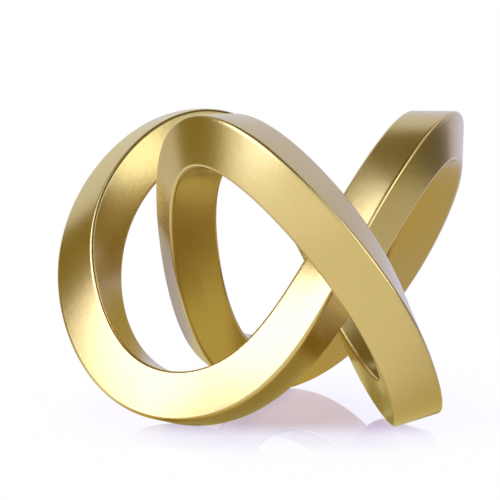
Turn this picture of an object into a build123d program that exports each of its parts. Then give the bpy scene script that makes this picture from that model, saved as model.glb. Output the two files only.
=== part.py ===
"""Metal knot sculpture: a square bar tied in a trefoil that stands on three feet.

The bar goes round a vertical axis twice. Three times it comes down on the outside,
turns under a foot, climbs on the inside and turns over a crest. It is cast as three
equal arms. Each arm reaches from one inner climb to the next, and ends in a half-lap
that two pressed cross pins lock to its neighbour. Millimetres, +Z up, with the origin
on the floor under the middle of the bounding box and the front towards -Y.
"""
import os
from math import cos, pi, radians, sin

from build123d import *

# Bar
BAR = 17.5
EDGE_CHAMFER = 1.0

# Centreline: distance from the knot's axis
MEAN_RADIUS = 52.1
RADIUS_SWING = 19.5
CREST_LEAN = 4.5
RADIUS_RIPPLE = 0.56

# Centreline: angle round the knot's axis, in degrees
FACING = 173.5
ANGLE_LAG = 17.9
ANGLE_RIPPLE = 0.4

# Centreline: height
RISE = 44.9
HEIGHT_SKEW = 2.5
HEIGHT_SAG = 3.15
HEIGHT_RIPPLE = 1.0

# Roll of the square section about the centreline, in degrees
MEAN_ROLL = 36.8
ROLL_SWING = 36.8

# Feet
FOOT_GRIND = 0.4

# Half-lap joints
LAP_LENGTH = 22.0
BOND_GAP = 0.05

# Cross pins
PIN_DIAMETER = 4.0
PIN_PITCH = 10.0
PIN_CLEARANCE = 0.02
PIN_SKIN = 3.0
PIN_END_GAP = 0.3
PIN_DRESS = 0.15

# Turns are radians along the knot: one arm is a third of the whole
ARM_TURN = 2 * pi / 3
FIRST_JOINT = pi / 3
SMALL_TURN = 0.001
ARM_STATIONS = 48

ARMS = ["right_arm", "front_arm", "left_arm"]
JOINTS = ["front_joint", "left_joint", "back_joint"]
PINS = {"lower_pin": -PIN_PITCH / 2, "upper_pin": PIN_PITCH / 2}


def knot_point(turn):
    """A point of the centreline, measured from the knot's axis and mean height."""
    swing = 3 * turn
    radius = MEAN_RADIUS + RADIUS_SWING * cos(swing) - CREST_LEAN * sin(swing)
    radius += RADIUS_RIPPLE * cos(2 * swing)
    angle = radians(FACING - ANGLE_LAG * sin(swing) + ANGLE_RIPPLE * cos(2 * swing)) + 2 * turn
    height = HEIGHT_SKEW * sin(2 * swing) - HEIGHT_SAG * cos(2 * swing) - RISE * sin(swing)
    height += HEIGHT_RIPPLE * cos(3 * swing)
    return Vector(radius * cos(angle), radius * sin(angle), height)


def turn_for(length, turn):
    """The turn that runs a length along the bar near a place on it."""
    speed = (knot_point(turn + SMALL_TURN) - knot_point(turn - SMALL_TURN)).length / (2 * SMALL_TURN)
    return length / speed


def knot_section(turn, origin):
    """The plane of the bar's section: Z along the bar, X and Y square to its faces."""
    along = (knot_point(turn + SMALL_TURN) - knot_point(turn - SMALL_TURN)).normalized()
    level = along.cross(Vector(0, 0, 1)).normalized()
    upward = level.cross(along)
    roll = radians(MEAN_ROLL + ROLL_SWING * sin(3 * turn))
    across = level * cos(roll) - upward * sin(roll)
    return Plane(knot_point(turn) - origin, x_dir=across, z_dir=along)


# Each arm's bar is lofted past its joints, so that the laps cut square ends from it
OVERRUN = turn_for(LAP_LENGTH / 2 + BAR / 2, FIRST_JOINT)
STATION_TURN = (ARM_TURN + 2 * OVERRUN) / ARM_STATIONS


def arm_turns(joint):
    """The turns of an arm's sections, from before its first joint to past its second."""
    return [joint - OVERRUN + station * STATION_TURN for station in range(ARM_STATIONS + 1)]


def reach(direction):
    """How far the bar's corners reach from the knot's axis in a direction."""
    reaches = []
    for index in range(len(ARMS)):
        for turn in arm_turns(FIRST_JOINT + index * ARM_TURN):
            plane = knot_section(turn, Vector(0, 0, 0))
            sides = [abs(plane.x_dir.dot(direction)), abs(plane.y_dir.dot(direction))]
            corner = BAR / 2 * sum(sides) - EDGE_CHAMFER * min(sides)
            reaches.append(plane.origin.dot(direction) + corner)
    return max(reaches)


# The origin is under the middle of the outline, on the ground flats of the feet
ORIGIN = Vector(
    (reach(Vector(1, 0, 0)) - reach(Vector(-1, 0, 0))) / 2,
    (reach(Vector(0, 1, 0)) - reach(Vector(0, -1, 0))) / 2,
    FOOT_GRIND - reach(Vector(0, 0, -1)),
)


def section(turn):
    """The bar's section plane in the part's own frame."""
    return knot_section(turn, ORIGIN)


def lap_plane(joint, way):
    """The plane that a lap's step is drawn on: Y along the bar, X across the lap."""
    plane = section(joint)
    return Plane(plane.origin, x_dir=plane.x_dir * way, z_dir=-plane.y_dir)


def pin_plane(joint):
    """The plane that cross pins are drilled from, clear outside the bar: X along the bar."""
    plane = section(joint)
    return Plane(plane.origin - plane.x_dir * BAR, x_dir=plane.z_dir, z_dir=plane.x_dir)


def dressed_plane(turn):
    """The plane that a pin's outer end is dressed to, just under the bar's face: Z into the bar."""
    plane = section(turn)
    return Plane(plane.origin - plane.x_dir * (BAR / 2 - PIN_DRESS), z_dir=plane.x_dir)


# A pin is drawn from clear outside the bar to a skin of metal short of its far face
PIN_LENGTH = BAR + BAR / 2 - PIN_SKIN
HOLE_LENGTH = PIN_LENGTH + PIN_END_GAP

os.makedirs("parts", exist_ok=True)

# Arms: a lofted bar with a half-lap at each end, cross pin holes and a ground foot
for index, name in enumerate(ARMS):
    start = FIRST_JOINT + index * ARM_TURN
    with BuildPart() as arm:
        for turn in arm_turns(start):
            with BuildSketch(section(turn)) as profile:
                Rectangle(BAR, BAR)
                chamfer(profile.vertices(), EDGE_CHAMFER)
        loft(ruled=True)
        for joint, way in zip((start, start + ARM_TURN), (1, -1)):
            with BuildSketch(lap_plane(joint, way)):
                with BuildLine():
                    Polyline(
                        (-BAR, LAP_LENGTH / 2 + BOND_GAP / 2),
                        (BOND_GAP / 2, LAP_LENGTH / 2 + BOND_GAP / 2),
                        (BOND_GAP / 2, BOND_GAP / 2 - LAP_LENGTH / 2),
                        (BAR, BOND_GAP / 2 - LAP_LENGTH / 2),
                        (BAR, -LAP_LENGTH / 2 - BAR),
                        (-BAR, -LAP_LENGTH / 2 - BAR),
                        close=True,
                    )
                make_face()
            extrude(amount=BAR, both=True, mode=Mode.SUBTRACT)
            with BuildSketch(pin_plane(joint)):
                with Locations(*[(place, 0) for place in PINS.values()]):
                    Circle(PIN_DIAMETER / 2 + PIN_CLEARANCE)
            extrude(amount=HOLE_LENGTH, mode=Mode.SUBTRACT)
        split(bisect_by=Plane.XY, keep=Keep.TOP)
    arm.part.label = name
    export_step(arm.part, f"parts/{name}.step")

# Cross pins: round steel, pressed in from the hidden face and dressed flush with the bar
for index, joint_name in enumerate(JOINTS):
    joint = FIRST_JOINT + index * ARM_TURN
    for pin_name, place in PINS.items():
        with BuildPart() as pin:
            with BuildSketch(pin_plane(joint)):
                with Locations((place, 0)):
                    Circle(PIN_DIAMETER / 2)
            extrude(amount=PIN_LENGTH)
            split(bisect_by=dressed_plane(joint + turn_for(place, joint)), keep=Keep.TOP)
        pin.part.label = f"{joint_name}_{pin_name}"
        export_step(pin.part, f"parts/{joint_name}_{pin_name}.step")
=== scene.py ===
# %% [markdown]
# # Metal knot sculpture
#
# The object is a desk ornament: one square bar of satin gold metal, tied in a trefoil that
# stands on three feet. The bar goes round a vertical axis twice. Three times it comes down
# on the outside, turns under a foot, climbs on the inside and turns over a crest.
# It is an assembly of three equal cast arms, with a half-lap at each end, and two steel
# cross pins in each of the three laps. We load the packed solids first: every piece below
# is built in their frame, in metres, so nothing has to be fitted by eye.

# %% Load the packed solids
from math import cos, pi, radians, sin

import bmesh
import bpy
from mathutils import Matrix, Vector


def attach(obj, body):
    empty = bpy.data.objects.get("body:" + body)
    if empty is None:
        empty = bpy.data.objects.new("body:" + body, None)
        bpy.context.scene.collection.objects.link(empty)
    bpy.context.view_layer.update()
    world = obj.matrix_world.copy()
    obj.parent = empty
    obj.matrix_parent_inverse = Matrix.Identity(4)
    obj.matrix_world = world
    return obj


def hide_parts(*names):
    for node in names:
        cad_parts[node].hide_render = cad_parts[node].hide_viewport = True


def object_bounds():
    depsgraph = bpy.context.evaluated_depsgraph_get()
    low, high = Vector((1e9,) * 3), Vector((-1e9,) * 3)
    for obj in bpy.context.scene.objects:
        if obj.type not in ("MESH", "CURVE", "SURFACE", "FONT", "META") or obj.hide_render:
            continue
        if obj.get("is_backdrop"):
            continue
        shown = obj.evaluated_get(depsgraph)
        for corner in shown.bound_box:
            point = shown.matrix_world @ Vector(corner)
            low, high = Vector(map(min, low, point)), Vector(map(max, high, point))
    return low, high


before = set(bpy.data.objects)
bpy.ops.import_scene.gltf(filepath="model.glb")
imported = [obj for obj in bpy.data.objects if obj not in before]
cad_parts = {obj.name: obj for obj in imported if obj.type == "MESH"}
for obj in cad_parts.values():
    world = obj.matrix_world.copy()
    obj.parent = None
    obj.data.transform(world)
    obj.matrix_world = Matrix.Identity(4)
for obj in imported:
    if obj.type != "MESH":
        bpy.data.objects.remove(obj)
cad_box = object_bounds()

print("nodes:", sorted(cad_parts))
print("solids' box:", cad_box)

# %% [markdown]
# ## The line of the knot
#
# The bar follows one smooth closed line. It could be drawn by hand as a Bezier curve, but a
# formula is shorter and gives the threefold symmetry for free: radius, angle and height are
# each a mean value and a few waves that repeat three times along the line. A turn runs from
# 0 to 2 pi along the whole knot. The section's roll about the line is such a wave too,
# which is what makes the faces of the bar twist as it climbs and falls.

# %% The knot's line and section
MM = 0.001

# The knot's axis and mean height, in the frame of the solids
KNOT_CENTRE = Vector((8.3557, 4.0934, 52.0011)) * MM

# Distance from the axis
MEAN_RADIUS = 52.1 * MM
RADIUS_SWING = 19.5 * MM
CREST_LEAN = 4.5 * MM
RADIUS_RIPPLE = 0.56 * MM

# Angle round the axis, in degrees
FACING = 173.5
ANGLE_LAG = 17.9
ANGLE_RIPPLE = 0.4

# Height
RISE = 44.9 * MM
HEIGHT_SKEW = 2.5 * MM
HEIGHT_SAG = 3.15 * MM
HEIGHT_RIPPLE = 1.0 * MM

# Roll of the section, in degrees
MEAN_ROLL = 36.8
ROLL_SWING = 36.8

SMALL_TURN = 0.001


def knot_point(turn):
    """A point of the bar's centreline."""
    swing = 3 * turn
    radius = MEAN_RADIUS + RADIUS_SWING * cos(swing) - CREST_LEAN * sin(swing)
    radius += RADIUS_RIPPLE * cos(2 * swing)
    angle = radians(FACING - ANGLE_LAG * sin(swing) + ANGLE_RIPPLE * cos(2 * swing)) + 2 * turn
    height = HEIGHT_SKEW * sin(2 * swing) - HEIGHT_SAG * cos(2 * swing) - RISE * sin(swing)
    height += HEIGHT_RIPPLE * cos(3 * swing)
    return KNOT_CENTRE + Vector((radius * cos(angle), radius * sin(angle), height))


def knot_step(turn):
    """A short step along the centreline, from just before a turn to just after it."""
    return knot_point(turn + SMALL_TURN) - knot_point(turn - SMALL_TURN)


def knot_section(turn):
    """A matrix that puts a profile drawn on XY across the bar, with Z along it."""
    along = knot_step(turn).normalized()
    level = along.cross(Vector((0, 0, 1))).normalized()
    upward = level.cross(along)
    roll = radians(MEAN_ROLL + ROLL_SWING * sin(3 * turn))
    across = level * cos(roll) - upward * sin(roll)
    matrix = Matrix((across, along.cross(across), along)).transposed().to_4x4()
    matrix.translation = knot_point(turn)
    return matrix


def turn_for(length, turn):
    """The turn that runs a length along the bar near a place on it."""
    return length * 2 * SMALL_TURN / knot_step(turn).length


print("a crest of the line:", knot_point(pi / 2), "a foot of the line:", knot_point(pi / 6))

# %% [markdown]
# ## A straight bar, bent along the line
#
# A foundry would make a wax of each arm by bending and twisting a square bar, and we do the
# same. The section is a square with its corners rounded by a vertex bevel. Two extra
# vertices at one end of each flat hold the shading flat there. The other end has none, so
# its shading swells softly into the rounding, which came closer to the picture than margins
# at both ends. One extrude makes a straight bar from the section, one subdivide cuts the bar
# into rings, and each ring is then carried to its place on the line. A curve with a bevel
# object would be quicker, but its twist can't follow our roll exactly.

# %% The bar of one arm
# A little under the bar of the solids, so that the smooth skin stays inside their box
BAR = 17.3 * MM
EDGE_RADIUS = 1.3 * MM
EDGE_SEGMENTS = 6
SHADE_MARGIN = 0.35 * MM
SHADE_CUTS = 2
ARM_RINGS = 420

# Each bar runs past its joints, so that the laps cut its ends
LAP_LENGTH = 22.0 * MM
ARM_TURN = 2 * pi / 3
FIRST_JOINT = pi / 3
OVERRUN = turn_for(LAP_LENGTH / 2 + BAR / 2, FIRST_JOINT)


def only(kind, geometry):
    """The vertices or the edges in the mixed list that an operator gives back."""
    return [element for element in geometry if isinstance(element, kind)]


def straight_bar():
    """A closed straight bar along Z, one unit long, cut into rings."""
    bar = bmesh.new()
    corner = BAR / 2 * 2**0.5
    square = Matrix.Rotation(pi / 4, 4, "Z")
    bmesh.ops.create_circle(bar, cap_ends=True, segments=4, radius=corner, matrix=square)
    bmesh.ops.bevel(
        bar, geom=bar.verts[:], offset=EDGE_RADIUS, offset_type="OFFSET", affect="VERTICES",
        segments=EDGE_SEGMENTS, profile=0.5, material=-1,
    )
    for _ in range(SHADE_CUTS):
        flats = sorted(bar.edges, key=lambda edge: edge.calc_length())[-4:]
        margins = {edge: SHADE_MARGIN / edge.calc_length() for edge in flats}
        bmesh.ops.bisect_edges(bar, edges=flats, cuts=1, edge_percents=margins)
    risen = bmesh.ops.extrude_face_region(bar, geom=bar.faces[:])["geom"]
    bmesh.ops.translate(bar, vec=(0, 0, 1), verts=only(bmesh.types.BMVert, risen))
    sides = [edge for edge in bar.edges if edge.verts[0].co.z != edge.verts[1].co.z]
    bmesh.ops.subdivide_edges(bar, edges=sides, cuts=ARM_RINGS - 1)
    return bar


def bend(bar, first, last):
    """Carries each ring of a straight bar to its place between two turns of the line."""
    rings = {}
    for vert in bar.verts:
        rings.setdefault(round(vert.co.z * ARM_RINGS), []).append(vert)
    for number, verts in rings.items():
        place = knot_section(first + (last - first) * number / ARM_RINGS)
        for vert in verts:
            vert.co = place @ Vector((vert.co.x, vert.co.y, 0))


trial = straight_bar()
print("straight bar:", len(trial.verts), "vertices,", len(trial.faces), "faces")
trial.free()

# %% [markdown]
# ## Half-laps and pin holes
#
# At each inner climb one arm ends and the next begins. Each end is cut down to half of the
# bar over 22 mm, so that the two halves lie on each other, and two cross pins go through
# both. A stepped block does the first cut and two drills the second. Both cutters are small
# closed meshes that are set at the joint and taken away from the arm with a Boolean, as a
# milling cutter and a drill would, so an arm lifted out of the knot has its true ends.

# %% Cutters for a joint
PIN_DIAMETER = 4.0 * MM
PIN_PITCH = 10.0 * MM
PIN_CLEARANCE = 0.02 * MM
PIN_SKIN = 3.0 * MM
PIN_END_GAP = 0.3 * MM
DRILL_SIDES = 64


def lap_cutter(joint, way):
    """A stepped block that leaves half of the bar at a joint.

    Way is 1 at an arm's start and -1 at its end.
    """
    cutter = bmesh.new()
    half = LAP_LENGTH / 2
    step = [
        (-BAR, half), (0, half), (0, -half), (BAR, -half), (BAR, -half - BAR), (-BAR, -half - BAR),
    ]
    corners = [cutter.verts.new((way * across, -BAR, way * along)) for across, along in step]
    risen = bmesh.ops.extrude_face_region(cutter, geom=[cutter.faces.new(corners)])["geom"]
    bmesh.ops.translate(cutter, vec=(0, 2 * BAR, 0), verts=only(bmesh.types.BMVert, risen))
    bmesh.ops.recalc_face_normals(cutter, faces=cutter.faces[:])
    bmesh.ops.transform(cutter, matrix=knot_section(joint), verts=cutter.verts[:])
    return cutter


def pin_drills(joint):
    """Two round drills that enter a joint from its hidden face and stop short of the far one."""
    drills = bmesh.new()
    radius = PIN_DIAMETER / 2 + PIN_CLEARANCE
    depth = BAR + BAR / 2 - PIN_SKIN + PIN_END_GAP
    sideways = Matrix.Rotation(pi / 2, 4, "Y")
    for place in (-PIN_PITCH / 2, PIN_PITCH / 2):
        middle = Matrix.Translation((depth / 2 - BAR, 0, place))
        bmesh.ops.create_cone(
            drills, cap_ends=True, segments=DRILL_SIDES, depth=depth, radius1=radius, radius2=radius,
            matrix=knot_section(joint) @ middle @ sideways,
        )
    return drills


def new_object(name, shape):
    """An object at the origin that holds a finished bmesh."""
    mesh = bpy.data.meshes.new(name)
    shape.to_mesh(mesh)
    shape.free()
    made = bpy.data.objects.new(name, mesh)
    bpy.context.scene.collection.objects.link(made)
    return made


def carve(arm, shape):
    """Takes a closed shape away from an arm."""
    cutter = new_object("cutter", shape)
    cut = arm.modifiers.new("cut", "BOOLEAN")
    cut.operation = "DIFFERENCE"
    cut.solver = "EXACT"
    cut.object = cutter
    shown = arm.evaluated_get(bpy.context.evaluated_depsgraph_get())
    carved = bpy.data.meshes.new_from_object(shown)
    arm.modifiers.clear()
    arm.data = carved
    bpy.data.objects.remove(cutter)


print(f"lap: {LAP_LENGTH / MM:.0f} mm long")
print(f"pins: {PIN_DIAMETER / MM:.0f} mm thick, {PIN_PITCH / MM:.0f} mm apart")

# %% [markdown]
# ## The three arms
#
# The arms are equal, a third of a turn apart. Each bar is bent a little past its joints and
# cut back to its laps, so that the two skins that meet at a seam come from one formula
# and the seam shows as little as it does on the dressed and gilded casting. Where the bar
# touches the floor, a bisect at height zero grinds the small flat that it stands on. Last,
# everything is shaded smooth, and only the edges of the cuts are marked sharp.

# %% Make the arms
CUT_TOLERANCE = 0.0001 * MM
SHARP_ANGLE = radians(30)


def make_arm(name, start):
    """One arm from its first joint to its second."""
    bar = straight_bar()
    bend(bar, start - OVERRUN, start + ARM_TURN + OVERRUN)
    bmesh.ops.recalc_face_normals(bar, faces=bar.faces[:])
    ground = bmesh.ops.bisect_plane(
        bar, geom=bar.verts[:] + bar.edges[:] + bar.faces[:], dist=CUT_TOLERANCE,
        plane_co=(0, 0, 0), plane_no=(0, 0, 1), clear_inner=True,
    )["geom_cut"]
    bmesh.ops.edgenet_fill(bar, edges=only(bmesh.types.BMEdge, ground))
    bmesh.ops.recalc_face_normals(bar, faces=bar.faces[:])
    arm = new_object(name, bar)
    for joint, way in ((start, 1), (start + ARM_TURN, -1)):
        carve(arm, lap_cutter(joint, way))
        carve(arm, pin_drills(joint))
    shaded = bmesh.new()
    shaded.from_mesh(arm.data)
    for face in shaded.faces:
        face.smooth = True
    for edge in shaded.edges:
        edge.smooth = edge.calc_face_angle(pi) < SHARP_ANGLE
    shaded.to_mesh(arm.data)
    volume = shaded.calc_volume() / MM**3
    rims = sum(1 for edge in shaded.edges if not edge.is_manifold)
    print(name, len(shaded.faces), "faces,", round(volume), "cubic mm,", rims, "open edges")
    shaded.free()
    return arm


arms = {}
for number, node in enumerate(("right_arm", "front_arm", "left_arm")):
    arms[node] = make_arm("gold_" + node, FIRST_JOINT + number * ARM_TURN)
    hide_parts(node)
    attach(arms[node], "root")

# %% [markdown]
# ## Shader maths in Python
#
# Materials below are small sums of noise and soft steps. Wiring them node by node hides the
# idea, so one class wraps a socket: adding or multiplying two wires adds the Math node and
# gives its output. Every other node comes from one method, which takes the node's type, its
# settings and then the values or links of its sockets.

# %% A wire that does arithmetic
class Wire:
    """An output socket of a node tree. Arithmetic with it adds Math nodes."""

    def __init__(self, tree, socket=None):
        self.tree = tree
        self.socket = socket

    def node(self, kind, settings, sockets, out=0):
        """Adds a node, sets it up, feeds its sockets and returns one of its outputs."""
        made = self.tree.nodes.new("ShaderNode" + kind)
        for name, value in settings.items():
            setattr(made, name, value)
        for name, value in sockets.items():
            if isinstance(value, Wire):
                self.tree.links.new(value.socket, made.inputs[name])
            else:
                made.inputs[name].default_value = value
        return Wire(self.tree, made.outputs[out] if made.outputs else None)

    def math(self, operation, first, second):
        """Adds a Math node on two values."""
        return self.node("Math", {"operation": operation}, {0: first, 1: second})

    def __add__(self, other):
        return self.math("ADD", self, other)

    def __sub__(self, other):
        return self.math("SUBTRACT", self, other)

    def __rsub__(self, other):
        return self.math("SUBTRACT", other, self)

    def __mul__(self, other):
        return self.math("MULTIPLY", self, other)

    __radd__ = __add__
    __rmul__ = __mul__

    def mix_colours(self, first, second):
        """A colour that goes from one to another as this value goes from 0 to 1.

        A Mix node has sockets for every type of data, and 6, 7 and output 2 are the colours.
        """
        return self.node("Mix", {"data_type": "RGBA"}, {0: self, 6: first, 7: second}, 2)

    def mix_shaders(self, first, second):
        """A shader that goes from one to another as this value goes from 0 to 1."""
        return self.node("MixShader", {}, {0: self, 1: first, 2: second})

    def step(self, low, high):
        """A soft step from 0 to 1 while this value goes from low to high."""
        limits = {"Value": self, "From Min": low, "From Max": high}
        return self.node("MapRange", {"interpolation_type": "SMOOTHSTEP"}, limits)


def new_material(name):
    """An empty material and a wire to build it with."""
    made = bpy.data.materials.new(name)
    made.use_nodes = True
    made.node_tree.nodes.clear()
    return made, Wire(made.node_tree)


print("wire operators:", [name for name in vars(Wire) if name.startswith("__r")])

# %% [markdown]
# ## Satin gold
#
# The knot is a casting that was blasted, brushed by hand and given a pale gold finish. It
# reflects softly, like a mirror seen through breath, and where a bright reflection ends, a
# fine grain shows. A painted grain would show everywhere. A bump shows only where the light
# changes, so colour and roughness stay almost even, and two heights make the bump: a grain
# of under a millimetre and shallow waves that the hand left. Plain noise shows its grid
# where a face lies along it, so the noise is distorted. Object coordinates keep the grain at
# its real size on every piece. A thin clear coat gives slanting faces the pale glint that
# lacquered metal has.

# %% The gold finish
GOLD = (0.625, 0.472, 0.195, 1)
GOLD_WORN = (0.590, 0.440, 0.174, 1)
PATCH_SIZE = 26 * MM
ROUGHNESS_SPREAD = 0.06
GRAIN_SIZE = 0.8 * MM
WAVE_SIZE = 4 * MM
WAVE_SHARE = 1.5
GRAIN_HEIGHT = 0.018 * MM


def noise(start, place, size, detail):
    """Noise whose lumps are about a size across."""
    sockets = {"Vector": place, "Scale": 1 / size, "Detail": detail, "Distortion": 1.0}
    return start.node("TexNoise", {}, sockets, "Fac")


def gold_finish(name, roughness):
    """A pale satin gold metal under a thin clear coat."""
    made, start = new_material(name)
    place = start.node("TexCoord", {}, {}, "Object")
    patches = noise(start, place, PATCH_SIZE, detail=3)
    grain = noise(start, place, GRAIN_SIZE, detail=2)
    waves = noise(start, place, WAVE_SIZE, detail=2)
    bump = {"Height": grain + WAVE_SHARE * waves, "Distance": GRAIN_HEIGHT, "Strength": 1.0}
    gold = {
        "Base Color": patches.mix_colours(GOLD, GOLD_WORN),
        "Metallic": 1.0,
        "Roughness": roughness - ROUGHNESS_SPREAD / 2 + ROUGHNESS_SPREAD * patches,
        "Normal": start.node("Bump", {}, bump, "Normal"),
        "Coat Weight": 1.0,
        "Coat Roughness": 0.2,
        "Coat IOR": 1.35,
    }
    start.node("OutputMaterial", {}, {"Surface": start.node("BsdfPrincipled", {}, gold)})
    return made


satin_gold = gold_finish("satin_gold", roughness=0.27)
pin_gold = gold_finish("pin_gold", roughness=0.31)
print("finishes:", satin_gold.name, pin_gold.name)

# %% Gold on every piece
def give_finish(piece, finish):
    """Makes a finish a piece's only material."""
    piece.data.materials.clear()
    piece.data.materials.append(finish)


pins = [node for name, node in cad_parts.items() if name.endswith("_pin")]
for arm in arms.values():
    give_finish(arm, satin_gold)
for pin in pins:
    give_finish(pin, pin_gold)
print(f"{len(arms)} arms in {satin_gold.name}, {len(pins)} pins in {pin_gold.name}")

# %% [markdown]
# ## Camera
#
# The picture was taken with a long lens from a little above the knot's middle, so the faces
# that look up show as narrow strips. A lens is often guessed and then nudged. Here the knot's
# outline was fitted to the picture, and the fit gave four numbers: how many pixels a radian
# covers, how far the camera is, how high it stands and where the knot's middle lands. The
# lens, the place and the turn of the camera all follow from them.

# %% The camera
PHOTO_SIZE = 500
PIXELS_PER_RADIAN = 1618
CAMERA_RISE = radians(6.75)
CAMERA_DISTANCE = 0.585
KNOT_PIXEL = (285.2, 269.8)


def face_point(made, point, front):
    """Turns an object so that its front axis points at a place."""
    made.rotation_euler = (point - made.location).to_track_quat(front, "Y").to_euler()


camera_data = bpy.data.cameras.new("camera")
camera_data.sensor_width = 36
camera_data.lens = camera_data.sensor_width * PIXELS_PER_RADIAN / PHOTO_SIZE
camera_data.clip_start = 0.01
camera = bpy.data.objects.new("camera", camera_data)
bpy.context.scene.collection.objects.link(camera)
backward = Vector((0, -cos(CAMERA_RISE), sin(CAMERA_RISE)))
upward = Vector((0, sin(CAMERA_RISE), cos(CAMERA_RISE)))
pixel = CAMERA_DISTANCE / PIXELS_PER_RADIAN
picture_middle = KNOT_CENTRE + Vector((PHOTO_SIZE / 2 - KNOT_PIXEL[0], 0, 0)) * pixel
picture_middle += upward * (KNOT_PIXEL[1] - PHOTO_SIZE / 2) * pixel
camera.location = KNOT_CENTRE + backward * CAMERA_DISTANCE
face_point(camera, picture_middle, "-Z")
bpy.context.scene.camera = camera
bpy.context.scene.view_settings.view_transform = "Standard"
print(f"lens {camera_data.lens:.0f} mm, {pixel / MM:.2f} mm a pixel at the knot")

# %% [markdown]
# ## The white room
#
# Polished metal is a picture of the room round it, so the room decides how the gold looks.
# The camera sees plain white. The metal sees walls that are cool and bright on the side of
# the softboxes, mauve behind on the right, which tints the strips that look that way, and
# warm behind on the left. Everything else is lit by an even white at half strength. Light
# Path tells the three kinds of ray apart, and soft steps blend the walls into each other.

# %% The white room
WHITE = (1, 1, 1, 1)
RIGHT = (1, 0, 0)
FRONT = (0, -1, 0)
SUNNY_SIDE = Vector((-0.58, -0.64, 0.50))
COOL_WALL = (0.95, 1.00, 1.00, 1)
MAUVE_WALL = (0.73, 0.75, 0.98, 1)
WARM_WALL = (0.77, 0.71, 0.45, 1)
WARM_TO_MAUVE = (-0.5, 0.3)
BACK_TO_COOL = (-0.7, 0.7)
ROOM_LIGHT = 0.5


def rays(start, name):
    """1 for one kind of ray and 0 for the others."""
    return start.node("LightPath", {}, {}, name)


def mirrored(start):
    """1 for what polished things show and 0 for the rest."""
    return start.math("MAXIMUM", rays(start, "Is Glossy Ray"), rays(start, "Is Transmission Ray"))


def along(place, direction):
    """How far a vector reaches in a direction."""
    return place.node("VectorMath", {"operation": "DOT_PRODUCT"}, {0: place, 1: direction}, "Value")


def towards(place, direction):
    """How well a vector points in a direction, from -1 to 1."""
    return along(place.node("VectorMath", {"operation": "NORMALIZE"}, {0: place}), direction)


def wall(start, colour, strength=1.0):
    """A plain wall that glows in a colour."""
    return start.node("Background", {}, {"Color": colour, "Strength": strength})


world = bpy.data.worlds.new("white_room")
world.use_nodes = True
world.node_tree.nodes.clear()
bpy.context.scene.world = world
start = Wire(world.node_tree)
ahead = start.node("TexCoord", {}, {}, "Generated")
mauve = towards(ahead, RIGHT).step(*WARM_TO_MAUVE)
behind = mauve.mix_shaders(wall(start, WARM_WALL), wall(start, MAUVE_WALL))
cool = towards(ahead, SUNNY_SIDE).step(*BACK_TO_COOL)
walls = cool.mix_shaders(behind, wall(start, COOL_WALL))
lit = mirrored(start).mix_shaders(wall(start, WHITE, ROOM_LIGHT), walls)
lit = rays(start, "Is Camera Ray").mix_shaders(lit, wall(start, WHITE))
start.node("OutputWorld", {}, {"Surface": lit})
print("room:", len(world.node_tree.nodes), "nodes")

# %% [markdown]
# ## The floor that the camera sees
#
# The knot stands on a glossy white sheet, whose edge is too far away to see. The sheet could
# be one glossy white, but then its lit part would turn grey beside the white of the room. So
# most of it glows at just white for the camera, a matt share near the knot keeps the knot's
# shadow, and a polish mirrors the feet. The polish is strongest under the knot and fades
# towards the front. Where the polish lies, the glow is a painted lavender that is brighter
# than white in blue, so the shade and the mirrored feet there take on a painted lavender tint.

# %% Places on the floor
KNOT_AXIS = KNOT_CENTRE * Vector((1, 1, 0))
FLOOR_REACH = 40

floor_shape = bmesh.new()
bmesh.ops.create_grid(floor_shape, x_segments=1, y_segments=1, size=FLOOR_REACH)
floor = new_object("floor", floor_shape)
floor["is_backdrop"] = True
white_sheet, start = new_material("white_sheet")
floor.data.materials.append(white_sheet)
place = start.node("TexCoord", {}, {}, "Object")
from_knot = start.node("VectorMath", {"operation": "SUBTRACT"}, {0: place, 1: KNOT_AXIS})
reach = start.node("VectorMath", {"operation": "LENGTH"}, {0: from_knot}, "Value")
forward = along(from_knot, FRONT)
rightward = towards(from_knot, RIGHT)
print(f"floor: {floor.dimensions.x:.0f} m across")

# %% The floor that the camera sees
SHEET_TINT = (0.90, 0.80, 0.97, 1)
# The glow under the polish is painted lavender, a painted tint for the shade and the mirrored feet
# there
PAINTED_LAVENDER_TINT = (0.92, 0.87, 1.34, 1)
POLISH_TINT = (1.38, 1.40, 1.03, 1)
POLISH_SHARE = 0.5

# Where the polish fades, and by how much towards the front
POLISH_EDGE = (45 * MM, 88 * MM)
FRONT_EDGE = (15 * MM, 45 * MM)
FRONT_FADE = 0.7
FAR_FRONT_EDGE = (45 * MM, 85 * MM)
FAR_FRONT_FADE = 0.9

# How much of the sheet glows under the knot, and what is added round it and far off
GLOW_UNDER = 0.72
GLOW_ROUND = 0.27
ROUND_EDGE = (15 * MM, 60 * MM)
GLOW_FAR = 0.01
FAR_EDGE = (80 * MM, 200 * MM)

polish_and_painted_lavender = 1 - reach.step(*POLISH_EDGE)
polish_and_painted_lavender = polish_and_painted_lavender * (1 - FRONT_FADE * forward.step(*FRONT_EDGE))
polish_and_painted_lavender = polish_and_painted_lavender * (1 - FAR_FRONT_FADE * forward.step(*FAR_FRONT_EDGE))
glowing = GLOW_UNDER + GLOW_ROUND * reach.step(*ROUND_EDGE) + GLOW_FAR * reach.step(*FAR_EDGE)
matt = start.node("BsdfDiffuse", {}, {"Color": SHEET_TINT})
# Painted lavender: the glow takes this tint where the polish lies
glow = start.node("Emission", {}, {"Color": polish_and_painted_lavender.mix_colours(WHITE, PAINTED_LAVENDER_TINT), "Strength": 1})
gloss = start.node("BsdfGlossy", {}, {"Color": POLISH_TINT, "Roughness": 0.03})
shown = (rays(start, "Is Camera Ray") * glowing).mix_shaders(matt, glow)
shown = (POLISH_SHARE * polish_and_painted_lavender).mix_shaders(shown, gloss)
print(f"polish: {POLISH_SHARE:.0%} of the floor at the middle")
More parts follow.
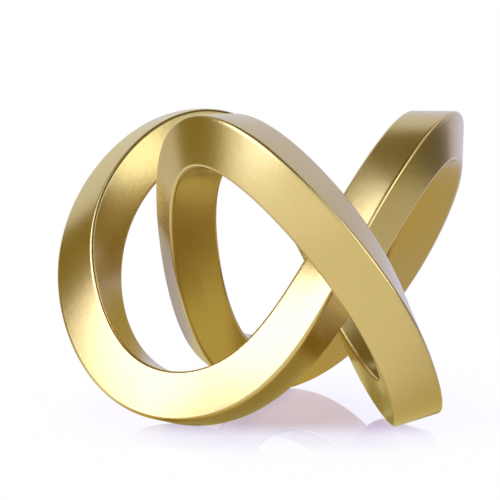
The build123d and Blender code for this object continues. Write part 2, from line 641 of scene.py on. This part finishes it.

# %% [markdown]
# ## The floor that the gold sees
#
# The faces that look down show the floor. For them the floor is not lit but glows in painted light
# and shade. It has painted shade straight under the three low arms and a painted golden bounce
# between them, where light would go to and fro between floor and metal. Further out at the front it
# has painted pale light. Behind it is painted warm shade, mauve to the right, and painted dim shade
# a little way off to the left. Letting the renderer find this with many bounces is slow and grainy.
# The arms' plan is three straight lines, a third of a turn apart, so the largest of three distances
# tells how far out a place is.

# %% The floor that the gold sees, in painted light and shade
# Painted floor colours for the gold: shade under the arms, golden bounce between them, a lit front,
# warm and mauve shade behind, and dim shade to the left
PAINTED_SHADE_UNDER_ARMS = (0.36, 0.28, 0.08, 1)
PAINTED_BOUNCE_BETWEEN_ARMS = (0.69, 0.59, 0.24, 1)
PAINTED_LIGHT_FRONT_FLOOR = (1.03, 1.04, 0.90, 1)
PAINTED_WARM_SHADE_BEHIND = (0.64, 0.57, 0.37, 1)
PAINTED_MAUVE_SHADE_BEHIND = (0.74, 0.73, 0.95, 1)
PAINTED_DIM_SHADE_LEFT = (0.42, 0.38, 0.44, 1)

# The arms' three lines. An edge is in metres, and a turn compares directions, from -1 to 1
ARM_LINE = 26 * MM
ARM_LINE_TURNS = [radians(13 + 120 * index) for index in range(3)]
ARM_EDGE = (4 * MM, 12 * MM)
OUTER_EDGE = (40 * MM, 78 * MM)
MAUVE_TURN = (-0.6, 0.5)
MAUVE_EDGE = (70 * MM, 160 * MM)
DIM_TURN = (-0.5, -0.2)
DIM_EDGE = (80 * MM, 110 * MM)
DIM_END = (260 * MM, 400 * MM)
SUNNY_TURN = (-0.3, 0.5)

outward = 0.0
for turn in ARM_LINE_TURNS:
    outward = start.math("MAXIMUM", along(from_knot, (sin(turn), -cos(turn), 0)), outward)
beside = start.math("ABSOLUTE", outward - ARM_LINE, 0.0)
painted_shade_near_arms = beside.step(*ARM_EDGE).mix_colours(PAINTED_SHADE_UNDER_ARMS, PAINTED_BOUNCE_BETWEEN_ARMS)
mauve = rightward.step(*MAUVE_TURN) * reach.step(*MAUVE_EDGE)
dim = (1 - rightward.step(*DIM_TURN)) * reach.step(*DIM_EDGE) * (1 - reach.step(*DIM_END))
painted_shade_behind = dim.mix_colours(mauve.mix_colours(PAINTED_WARM_SHADE_BEHIND, PAINTED_MAUVE_SHADE_BEHIND), PAINTED_DIM_SHADE_LEFT)
sunny = towards(from_knot, SUNNY_SIDE * Vector((1, 1, 0))).step(*SUNNY_TURN)
painted_light_and_shade_far = sunny.mix_colours(painted_shade_behind, PAINTED_LIGHT_FRONT_FLOOR)
painted_floor_light = outward.step(*OUTER_EDGE).mix_colours(painted_shade_near_arms, painted_light_and_shade_far)
# The floor glows in this painted light and shade, and only mirrored rays see it
painted_floor_light = start.node("Emission", {}, {"Color": painted_floor_light, "Strength": 1})
start.node("OutputMaterial", {}, {"Surface": mirrored(start).mix_shaders(shown, painted_floor_light)})
print("floor:", len(white_sheet.node_tree.nodes), "nodes")

# %% [markdown]
# ## Softboxes
#
# A softbox is a lamp behind white cloth, and on metal it shows as a bright shape with a soft
# edge. The large one stands at the front left and fills the lower face of the big loop. The
# others are smaller, and each adds a highlight of its own. The last one lies on the table
# and faces up. A lamp's power depends on its size, so each is given the brightness that its
# cloth shows, and the power is worked out from that.

# %% Softboxes
MIDDLE_HEIGHT = 0.05
TABLE_TURN = -38


def around(turn, distance, height):
    """A point round the knot's axis. Turn 0 is in front, and 90 to the right."""
    outwards = Vector((sin(radians(turn)), -cos(radians(turn)), 0))
    return KNOT_AXIS + outwards * distance + Vector((0, 0, height))


def softbox(name, shape, turn, distance, height, size, cloth, aim=MIDDLE_HEIGHT):
    """An area light that faces a height on the knot's axis. Its cloth's brightness is given."""
    data = bpy.data.lights.new(name, "AREA")
    data.shape = shape
    data.size, data.size_y = size
    area = size[0] * size[1] * (pi / 4 if shape == "ELLIPSE" else 1)
    data.energy = max(cloth) * pi * area
    data.color = Vector(cloth) / max(cloth)
    made = bpy.data.objects.new(name, data)
    bpy.context.scene.collection.objects.link(made)
    made.location = around(turn, distance, height)
    face_point(made, around(turn, 0, aim), "-Z")
    made.visible_camera = False
    print(f"{name}: {data.energy:.2f} W")
    return made


softbox(
    "key_softbox", "ELLIPSE", turn=-52, distance=0.52, height=0.38,
    size=(0.37, 0.60), cloth=(2.9, 3.1, 4.25), aim=0.38,
)
softbox(
    "top_softbox", "ELLIPSE", turn=-73, distance=0.45, height=0.60,
    size=(0.26, 0.24), cloth=(1.5, 1.72, 2.3),
)
softbox(
    "strip_softbox", "RECTANGLE", turn=-59, distance=0.55, height=0.05,
    size=(0.20, 0.10), cloth=(1.10, 1.32, 2.05),
)
softbox(
    "fill_softbox", "RECTANGLE", turn=54, distance=0.60, height=0.20,
    size=(0.28, 0.40), cloth=(1.5, 1.62, 1.4), aim=0.20,
)
table = softbox(
    "table_softbox", "RECTANGLE", turn=TABLE_TURN, distance=0.31, height=0.002,
    size=(0.26, 0.22), cloth=(0.19, 0.21, 0.34),
)
table.rotation_euler = (pi, 0, radians(TABLE_TURN))

# %% [markdown]
# ## Flags
#
# Metal in an all-white room looks like white paper. So dark cards, called flags, stand round
# the knot, hidden from the camera, and the gold shows them as its brown bands. Each card
# glows in its own colour rather than being lit, so its brightness is painted. One in front
# overhead gives the rounded edges a thin dark line, and a dark ceiling tones down the faces
# that look up. A pale cloth on the floor lights the right arm from below. Every card is
# clear from behind, so that the polished floor doesn't mirror the cloth.

# %% Flags
def card(name, turn, distance, heights, width, colour, lean=None):
    """An upright card that faces the knot's axis, or leans to face a height on it."""
    low, high = heights
    shape = bmesh.new()
    bmesh.ops.create_grid(shape, x_segments=1, y_segments=1, size=0.5)
    bmesh.ops.scale(shape, vec=(width, high - low, 1), verts=shape.verts[:])
    made = new_object(name, shape)
    made.location = around(turn, distance, (low + high) / 2)
    face_point(made, around(turn, 0, made.location.z if lean is None else lean), "Z")
    # Each card glows in its set colour rather than being lit, as painted shade or light for the gold
    card_glow, start = new_material(name)
    face = start.node("Emission", {}, {"Color": (*colour, 1), "Strength": 1})
    clear = start.node("BsdfTransparent", {}, {})
    behind = start.node("NewGeometry", {}, {}, "Backfacing")
    start.node("OutputMaterial", {}, {"Surface": behind.mix_shaders(face, clear)})
    made.data.materials.append(card_glow)
    made.visible_camera = False
    made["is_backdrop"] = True
    print(f"{name}: {width:.2f} by {high - low:.2f} m")
    return made


card(
    "left_flag", turn=-98, distance=0.40, heights=(0, 0.70),
    width=0.29, colour=(0.29, 0.22, 0.02),
)
card(
    "right_flag", turn=92, distance=0.40, heights=(0, 0.36),
    width=0.28, colour=(0.25, 0.19, 0.02),
)
card(
    "right_low_flag", turn=114, distance=0.40, heights=(0, 0.09),
    width=0.17, colour=(0.12, 0.10, 0.05),
)
card(
    "front_flag", turn=18, distance=0.40, heights=(0.40, 0.80),
    width=0.50, colour=(0.06, 0.05, 0.03), lean=MIDDLE_HEIGHT,
)
card(
    "back_flag", turn=180, distance=0.092, heights=(0.042, 0.086),
    width=0.09, colour=(0.48, 0.38, 0.09),
)

# %% Lying cards
CLOTH_TURN = 92

ceiling = card(
    "ceiling", turn=-110, distance=0.15, heights=(0.7, 1.9),
    width=1.2, colour=(0.21, 0.17, 0.05),
)
ceiling.rotation_euler = (pi, 0, 0)
cloth = card(
    "right_cloth", turn=CLOTH_TURN, distance=0.27, heights=(-0.118, 0.122),
    width=0.24, colour=(0.70, 0.69, 0.52),
)
cloth.rotation_euler = (0, 0, radians(CLOTH_TURN))
cloth.visible_shadow = False
cloth.visible_diffuse = False

# %% [markdown]
# ## Last measure
#
# The new arms have finer edges than the solids but must not be larger, so the box of the
# dressed knot is written down beside the box of the solids before the scene is finished.

# %% Finish
sizes = {"cad": cad_box, "visual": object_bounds()}
sizes = {name: [list(corner) for corner in box] for name, box in sizes.items()}
print("boxes:", sizes)
